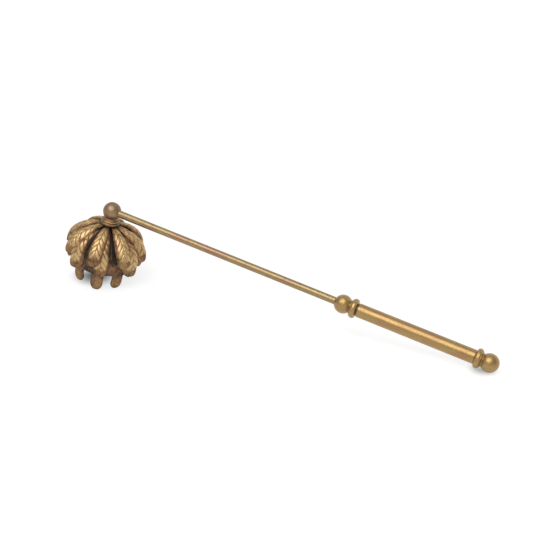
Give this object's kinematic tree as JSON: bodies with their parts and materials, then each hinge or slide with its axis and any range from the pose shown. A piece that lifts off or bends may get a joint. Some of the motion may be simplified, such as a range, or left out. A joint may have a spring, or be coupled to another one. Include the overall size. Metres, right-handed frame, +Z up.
{
  "type": "candle snuffer",
  "caption": "Brass candle snuffer: a flower-shaped bell of layered leaves on a thin straight stem with a round grip between rings and ball ends.",
  "frame": {"origin": "centre of the bounding box at table height, with the snuffer lying at rest", "axes": "+X along the handle from the bell to the end ball, +Z up from the table"},
  "size_m": [0.3094, 0.057, 0.0588],
  "materials": {
    "bell_brass": "satin, aged darker in the hollows and rubbed bright on the veins",
    "handle_brass": "satin, turned, lightly aged"
  },
  "bodies": {
    "root": {"upper_leaf_1": "bell_brass", "upper_leaf_2": "bell_brass", "upper_leaf_3": "bell_brass", "upper_leaf_4": "bell_brass", "upper_leaf_5": "bell_brass", "upper_leaf_6": "bell_brass", "upper_leaf_7": "bell_brass", "upper_leaf_8": "bell_brass", "middle_leaf_1": "bell_brass", "middle_leaf_2": "bell_brass", "middle_leaf_3": "bell_brass", "middle_leaf_4": "bell_brass", "middle_leaf_5": "bell_brass", "middle_leaf_6": "bell_brass", "middle_leaf_7": "bell_brass", "middle_leaf_8": "bell_brass", "petal_cup": "bell_brass", "bell_ring": "bell_brass", "bell_washer": "bell_brass", "bell_screw": "bell_brass", "stem": "handle_brass", "front_ring": "handle_brass", "grip": "handle_brass", "rear_ring": "handle_brass"}
  },
  "joints": []
}
